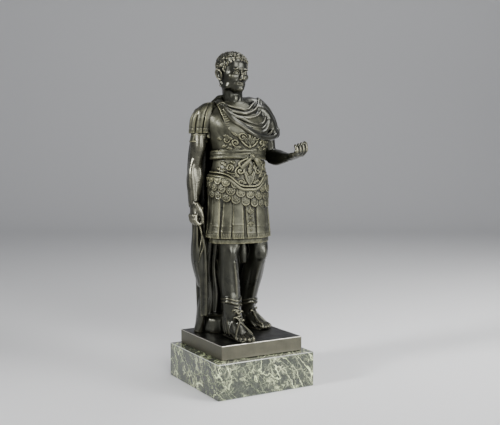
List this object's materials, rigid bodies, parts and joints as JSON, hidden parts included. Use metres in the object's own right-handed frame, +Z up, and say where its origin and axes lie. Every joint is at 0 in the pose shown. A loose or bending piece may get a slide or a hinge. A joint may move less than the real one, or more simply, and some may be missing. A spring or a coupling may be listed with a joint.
{
  "type": "bronze statuette of a standing general",
  "caption": "Patinated bronze figure in a relief cuirass and long cloak, left hand held out, on a square bronze plinth and a veined green marble base.",
  "frame": {"origin": "centre of the marble base's underside", "axes": "+Z up; the figure faces -Y and its own left hand is on +X"},
  "size_m": [0.15, 0.15, 0.4617],
  "materials": {
    "figure_bronze": "dark olive-brown patinated cast bronze, waxed, rubbed brighter on the high points",
    "plinth_bronze": "dark patinated bronze, filed flat and satin",
    "green_marble": "polished dark green serpentine marble with pale yellow-green veins"
  },
  "bodies": {
    "root": {"figure": "figure_bronze", "bronze_plinth": "plinth_bronze", "marble_base": "green_marble"}
  },
  "joints": []
}
